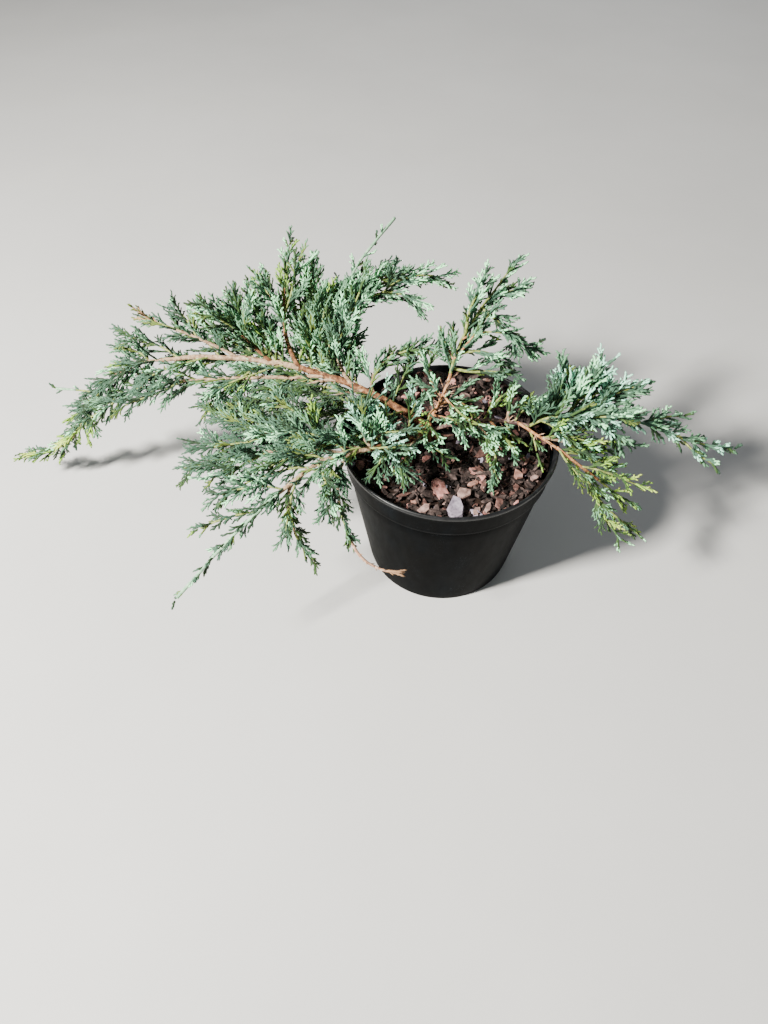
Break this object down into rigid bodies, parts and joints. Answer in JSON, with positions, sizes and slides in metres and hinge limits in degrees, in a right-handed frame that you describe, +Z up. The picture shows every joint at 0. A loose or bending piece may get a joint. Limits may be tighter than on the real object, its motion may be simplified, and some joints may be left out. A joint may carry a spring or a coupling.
{
  "type": "potted spreading conifer",
  "caption": "Low spreading blue-green conifer with arching feathery shoots, growing from bark mulch in a round tapered black nursery pot.",
  "frame": {"origin": "centre of the pot's flat underside", "axes": "+Z up, +X to the pot's right and along the plant's longest spread, +Y to the back, away from the picture's viewer"},
  "size_m": [0.8582, 0.3922, 0.3236],
  "materials": {
    "pot": "matt black, slightly dusty and scuffed",
    "bark_mulch": "rough, broken bark chips",
    "bark": "rough, lightly ridged bark",
    "foliage_blue": "matt, silvery blue-green scale leaves",
    "foliage_shaded": "matt, mid-green scale leaves",
    "foliage_bright": "matt, yellow-green young scale leaves"
  },
  "bodies": {
    "root": {"far_left_foliage": "foliage_blue", "far_left_tip_foliage": "foliage_bright", "foot_bough": "bark", "foot_foliage": "foliage_blue", "front_drooping_bough": "bark", "front_drooping_foliage": "foliage_shaded", "front_limb": "bark", "front_low_bough": "bark", "front_low_foliage": "foliage_blue", "front_middle_bough": "bark", "front_middle_foliage": "foliage_blue", "front_upper_bough": "bark", "front_upper_foliage": "foliage_blue", "inner_left_bough": "bark", "inner_left_foliage": "foliage_shaded", "inner_low_bough": "bark", "inner_low_foliage": "foliage_shaded", "leader_foliage": "foliage_blue", "leader_limb": "bark", "leader_low_bough": "bark", "leader_low_foliage": "foliage_blue", "left_limb": "bark", "lower_left_bough": "bark", "lower_left_foliage": "foliage_blue", "middle_bough": "bark", "middle_foliage": "foliage_shaded", "pot": "pot", "right_front_bough": "bark", "right_front_foliage": "foliage_blue", "right_limb": "bark", "right_long_foliage": "foliage_blue", "right_lower_bough": "bark", "right_lower_foliage": "foliage_bright", "right_small_bough": "bark", "right_small_foliage": "foliage_blue", "right_sprig_bough": "bark", "right_sprig_foliage": "foliage_bright", "rim_drooping_bough": "bark", "rim_drooping_foliage": "foliage_bright", "soil": "bark_mulch", "top_centre_bough": "bark", "top_centre_foliage": "foliage_blue", "top_left_bough": "bark", "top_left_foliage": "foliage_blue", "top_right_bough": "bark", "top_right_foliage": "foliage_blue", "top_shaded_bough": "bark", "top_shaded_foliage": "foliage_shaded", "trunk": "bark", "upper_left_bough": "bark", "upper_left_foliage": "foliage_blue", "upright_bough": "bark", "upright_foliage": "foliage_blue"}
  },
  "joints": []
}
